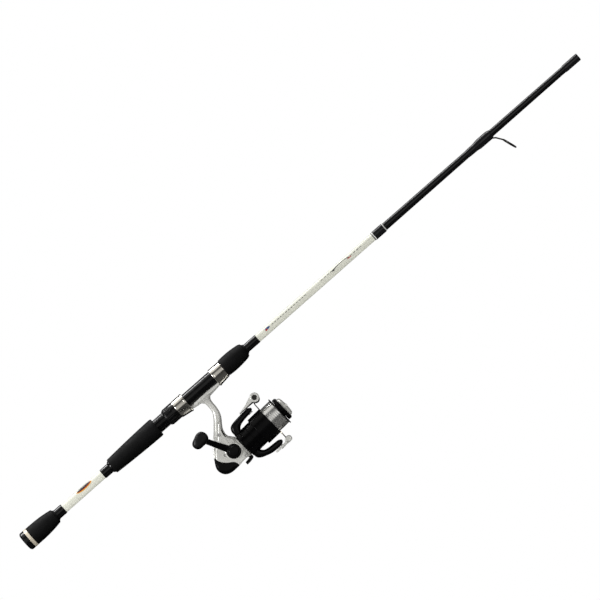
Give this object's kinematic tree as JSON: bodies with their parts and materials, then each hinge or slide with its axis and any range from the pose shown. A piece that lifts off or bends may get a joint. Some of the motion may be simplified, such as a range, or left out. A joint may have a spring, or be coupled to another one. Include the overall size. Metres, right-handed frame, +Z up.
{
  "type": "fishing rod and reel",
  "caption": "Butt section of a two-piece spinning rod with split foam grips and a screw reel seat that holds a front-drag spinning reel.",
  "frame": {"origin": "on the rod's axis at the middle of the reel seat", "axes": "+X along the rod towards its tip, +Z up with the reel hanging below, crank on the -Y side"},
  "size_m": [0.861, 0.1146, 0.1285],
  "materials": {
    "moulded_black": "satin moulded nylon",
    "gloss_black": "gloss",
    "foam_grip": "matt closed-cell foam",
    "champagne_metal": "anodised, satin",
    "blank_paint": "white gloss paint over a hollow laminate, black towards the tip",
    "hood_metal": "polished, clear anodised",
    "thread_wrap": "thread under clear gloss resin",
    "dark_steel": "black chrome",
    "ceramic": "polished ceramic",
    "reel_silver": "silver paint, satin",
    "reel_black": "moulded, semi-gloss",
    "bright_steel": "machined",
    "zinc_alloy": "die-cast",
    "brass_gear": "machined",
    "bail_steel": "drawn wire",
    "moulded_white": "moulded acetal",
    "nylon_line": "wound monofilament",
    "felt": "pressed felt",
    "soft_knob": "soft-touch"
  },
  "bodies": {
    "rod": {"butt_cap": "moulded_black", "butt_ring": "champagne_metal", "butt_grip": "foam_grip", "butt_collar": "gloss_black", "rod_blank": "blank_paint", "rear_collar": "gloss_black", "rear_grip": "foam_grip", "seat_barrel": "moulded_black", "fixed_hood": "hood_metal", "fore_grip": "foam_grip", "fore_collar": "gloss_black", "trim_wrap": "thread_wrap", "guide_wrap": "thread_wrap", "guide_frame": "dark_steel", "guide_ring": "ceramic", "ferrule_wrap": "thread_wrap", "reel_body": "reel_silver", "nose_collar": "moulded_black", "side_cover": "reel_silver", "side_cover_screws": "bright_steel", "rear_cover": "reel_black", "off_side_cap": "reel_black", "axle_bearings": "bright_steel", "pinion_bearing": "bright_steel", "bearing_retainer": "bright_steel", "retainer_screws": "bright_steel"},
    "hood": {"moving_hood": "hood_metal"},
    "nut": {"hood_nut": "moulded_black"},
    "crank": {"handle_shaft": "bright_steel", "handle_arm": "reel_black", "hub_cap": "reel_black", "knob_post": "bright_steel", "drive_gear": "zinc_alloy"},
    "knob": {"handle_knob": "soft_knob"},
    "rotor_set": {"pinion_gear": "brass_gear", "anti_reverse_ratchet": "bright_steel", "rotor": "reel_black", "rotor_nut": "bright_steel", "bail_pivot_screws": "bright_steel", "bail_spring": "bright_steel"},
    "bail": {"bail_arm": "reel_silver", "bail_holder": "reel_silver", "bail_wire": "bail_steel", "roller_boss": "reel_black", "roller_screw": "dark_steel"},
    "roller": {"line_roller": "bright_steel"},
    "oscillator": {"oscillation_gear": "moulded_white"},
    "shaft_set": {"main_shaft": "bright_steel", "slider_block": "zinc_alloy"},
    "spool_set": {"spool": "reel_black", "spool_lip": "reel_black", "wound_line": "nylon_line", "click_wheel": "moulded_black", "drag_felts": "felt", "drag_plates": "bright_steel", "drag_spring_ring": "bright_steel"},
    "drag_set": {"drag_knob": "reel_black", "drag_dome": "reel_silver"},
    "anti_reverse": {"anti_reverse_lever": "reel_black", "anti_reverse_dog": "bright_steel"}
  },
  "joints": [
    {"name": "crank_turn", "type": "hinge", "parent": "rod", "child": "crank", "pos_m": [-0.017, 0, -0.0802], "axis": [0, 1, 0], "continuous": true},
    {"name": "knob_spin", "type": "hinge", "parent": "crank", "child": "knob", "pos_m": [-0.03596, 0, -0.04498], "axis": [0, 1, 0], "continuous": true},
    {"name": "rotor_turn", "type": "hinge", "parent": "rod", "child": "rotor_set", "pos_m": [-0.01678, 0, -0.08449], "axis": [0.9986, 0, 0.0523], "continuous": true},
    {"name": "oscillator_turn", "type": "hinge", "parent": "rod", "child": "oscillator", "pos_m": [-0.03225, 0, -0.08531], "axis": [0, 1, 0], "continuous": true},
    {"name": "bail_open", "type": "hinge", "parent": "rotor_set", "child": "bail", "pos_m": [0.02746, 0, -0.08218], "axis": [-0.0523, 0, 0.9986], "range_deg": [-112, 0]},
    {"name": "roller_spin", "type": "hinge", "parent": "bail", "child": "roller", "pos_m": [0.04176, 0, -0.04928], "axis": [0, 1, 0], "continuous": true},
    {"name": "spool_stroke", "type": "slide", "parent": "rod", "child": "shaft_set", "axis": [0.9986, 0, 0.0523], "range_m": [-0.0065, 0.005]},
    {"name": "drag_slip", "type": "hinge", "parent": "shaft_set", "child": "spool_set", "pos_m": [-0.01678, 0, -0.08449], "axis": [0.9986, 0, 0.0523], "continuous": true},
    {"name": "drag_adjust", "type": "hinge", "parent": "shaft_set", "child": "drag_set", "pos_m": [-0.01678, 0, -0.08449], "axis": [0.9986, 0, 0.0523], "range_deg": [-540, 360]},
    {"name": "anti_reverse_switch", "type": "hinge", "parent": "rod", "child": "anti_reverse", "pos_m": [-0.01636, 0, -0.09248], "axis": [0.9986, 0, 0.0523], "range_deg": [-22, 0]},
    {"name": "hood_slide", "type": "slide", "parent": "rod", "child": "hood", "axis": [1, 0, 0], "range_m": [-0.0121, 0.0001]},
    {"name": "nut_turn", "type": "hinge", "parent": "hood", "child": "nut", "pos_m": [-0.044, 0, 0], "axis": [1, 0, 0], "range_deg": [-2880, 0]}
  ],
  "couplings": [
    {"joint": "rotor_turn", "follows": "crank_turn", "ratio": 4.3},
    {"joint": "oscillator_turn", "follows": "crank_turn", "ratio": -0.60526},
    {"joint": "hood_slide", "follows": "nut_turn", "m_per_rad": 0.00023873}
  ]
}
